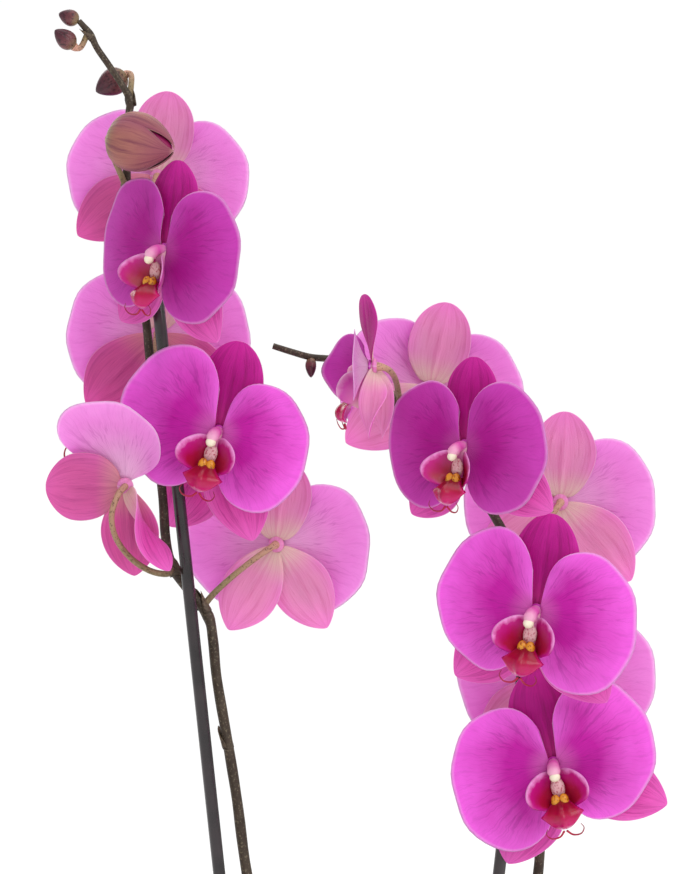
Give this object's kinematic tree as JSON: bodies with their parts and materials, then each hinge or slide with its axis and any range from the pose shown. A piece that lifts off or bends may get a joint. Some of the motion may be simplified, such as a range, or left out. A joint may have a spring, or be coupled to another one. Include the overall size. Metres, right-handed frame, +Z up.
{
  "type": "potted orchid plant",
  "caption": "Moth orchid with two arching spikes of magenta flowers on dark stakes, growing from broad leaves in a square wooden box of bark.",
  "frame": {"origin": "centre of the underside of the wooden box", "axes": "+Z up along the plant, +X to the right across both spikes, -Y towards the side that most flowers and the two stakes face"},
  "size_m": [0.3055, 0.3387, 0.7474],
  "materials": {
    "pine": "matte",
    "bark": "matte",
    "leaf": "satin",
    "stake": "gloss",
    "stem": "satin",
    "bud": "satin",
    "sepal": "satin",
    "petal": "satin",
    "lip": "satin"
  },
  "bodies": {
    "root": {"back_board": "pine", "bark_medium": "bark", "base_board": "pine", "crown": "leaf", "front_board": "pine", "leaf_1": "leaf", "leaf_2": "leaf", "leaf_3": "leaf", "leaf_4": "leaf", "leaf_5": "leaf", "left_board": "pine", "left_bud_1": "bud", "left_bud_2": "bud", "left_bud_3": "bud", "left_flower_1_lip": "lip", "left_flower_1_petals": "petal", "left_flower_1_sepals": "sepal", "left_flower_2_lip": "lip", "left_flower_2_petals": "petal", "left_flower_2_sepals": "sepal", "left_flower_3_lip": "lip", "left_flower_3_petals": "petal", "left_flower_3_sepals": "sepal", "left_flower_4_lip": "lip", "left_flower_4_petals": "petal", "left_flower_4_sepals": "sepal", "left_flower_5_lip": "lip", "left_flower_5_petals": "petal", "left_flower_5_sepals": "sepal", "left_flower_6_lip": "lip", "left_flower_6_petals": "petal", "left_flower_6_sepals": "sepal", "left_spike": "stem", "left_stake": "stake", "right_board": "pine", "right_flower_1_lip": "lip", "right_flower_1_petals": "petal", "right_flower_1_sepals": "sepal", "right_flower_2_lip": "lip", "right_flower_2_petals": "petal", "right_flower_2_sepals": "sepal", "right_flower_3_lip": "lip", "right_flower_3_petals": "petal", "right_flower_3_sepals": "sepal", "right_flower_4_lip": "lip", "right_flower_4_petals": "petal", "right_flower_4_sepals": "sepal", "right_flower_5_lip": "lip", "right_flower_5_petals": "petal", "right_flower_5_sepals": "sepal", "right_flower_6_lip": "lip", "right_flower_6_petals": "petal", "right_flower_6_sepals": "sepal", "right_flower_7_lip": "lip", "right_flower_7_petals": "petal", "right_flower_7_sepals": "sepal", "right_spike": "stem", "right_stake": "stake"}
  },
  "joints": []
}
